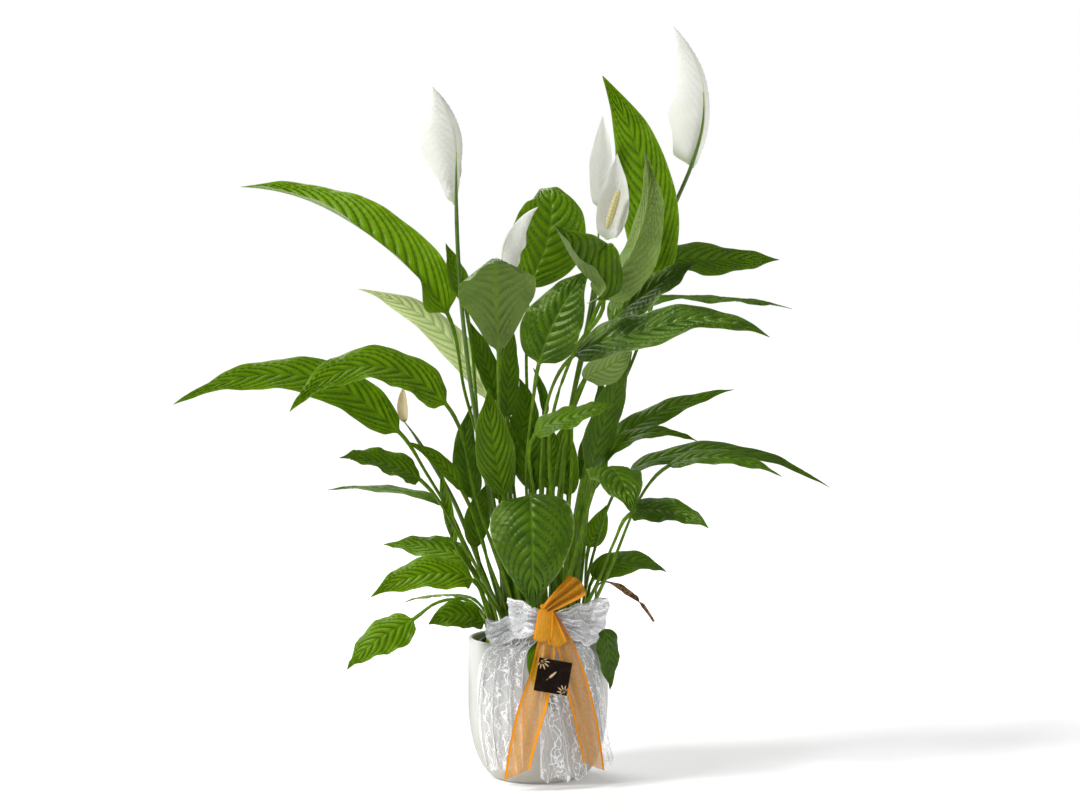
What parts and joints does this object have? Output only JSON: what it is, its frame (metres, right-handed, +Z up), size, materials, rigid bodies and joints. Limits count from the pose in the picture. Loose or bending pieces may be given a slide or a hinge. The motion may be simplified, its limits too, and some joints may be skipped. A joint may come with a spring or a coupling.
{
  "type": "potted peace lily",
  "caption": "Peace lily in a pale ceramic pot: arching glossy leaves, white spathes on tall stalks, and a lace and orange organza bow with a small card tag at the rim.",
  "frame": {"origin": "middle of the pot's flat foot, on the surface it stands on", "axes": "+Z up along the pot's axis, -Y towards the side with the bow, +X to the right seen from that side"},
  "size_m": [0.7609, 0.3709, 0.8854],
  "materials": {
    "pale_ceramic": "smooth matte pale grey ceramic glaze",
    "black_plastic": "thin black moulded plastic",
    "soil": "rough moist potting mix",
    "leaf_green": "waxy leaf, satin above with sunken veins, paler and duller below",
    "stalk_green": "smooth satin green stem",
    "spathe_white": "soft matte white spathe, a little translucent",
    "spadix_cream": "knobbly cream spadix",
    "dry_leaf": "dry curled brown leaf",
    "lace_white": "open floral net lace",
    "organza_orange": "sheer organza with satin edges",
    "tag_card": "dark printed card"
  },
  "bodies": {
    "root": {"ceramic_pot": "pale_ceramic", "flower_behind_spathe": "spathe_white", "flower_behind_stalk": "stalk_green", "flower_faded": "spathe_white", "flower_middle_spadix": "spadix_cream", "flower_middle_spathe": "spathe_white", "flower_middle_stalk": "stalk_green", "flower_side_spadix": "spadix_cream", "flower_side_spathe": "spathe_white", "flower_side_stalk": "stalk_green", "flower_tall_left_spadix": "spadix_cream", "flower_tall_left_spathe": "spathe_white", "flower_tall_left_stalk": "stalk_green", "flower_top_right_spadix": "spadix_cream", "flower_top_right_spathe": "spathe_white", "flower_top_right_stalk": "stalk_green", "gift_tag": "tag_card", "grow_pot": "black_plastic", "lace_bow": "lace_white", "leaf_back_heart": "leaf_green", "leaf_bright_left": "leaf_green", "leaf_centre_dark": "leaf_green", "leaf_centre_grey": "leaf_green", "leaf_dark_upright": "leaf_green", "leaf_dry_right": "dry_leaf", "leaf_far_left": "leaf_green", "leaf_far_right": "leaf_green", "leaf_folded": "leaf_green", "leaf_front_heart": "leaf_green", "leaf_front_left": "leaf_green", "leaf_hanging_left": "leaf_green", "leaf_high_left": "leaf_green", "leaf_inner_mid": "leaf_green", "leaf_level_centre": "leaf_green", "leaf_low_left": "leaf_green", "leaf_low_right": "leaf_green", "leaf_narrow_left": "leaf_green", "leaf_pale_left": "leaf_green", "leaf_right_back": "leaf_green", "leaf_right_big": "leaf_green", "leaf_right_drooping": "leaf_green", "leaf_right_front_thin": "leaf_green", "leaf_right_hooked": "leaf_green", "leaf_right_inner": "leaf_green", "leaf_right_low": "leaf_green", "leaf_right_pointed": "leaf_green", "leaf_right_thin": "leaf_green", "leaf_rim_front": "leaf_green", "leaf_rim_left": "leaf_green", "leaf_rim_right": "leaf_green", "leaf_silver_back": "leaf_green", "leaf_silver_left": "leaf_green", "leaf_silver_top": "leaf_green", "leaf_silver_upright": "leaf_green", "leaf_slender": "leaf_green", "leaf_thin_left": "leaf_green", "leaf_upright_dark": "leaf_green", "leaf_young_right": "leaf_green", "organza_bow": "organza_orange", "soil": "soil"}
  },
  "joints": []
}
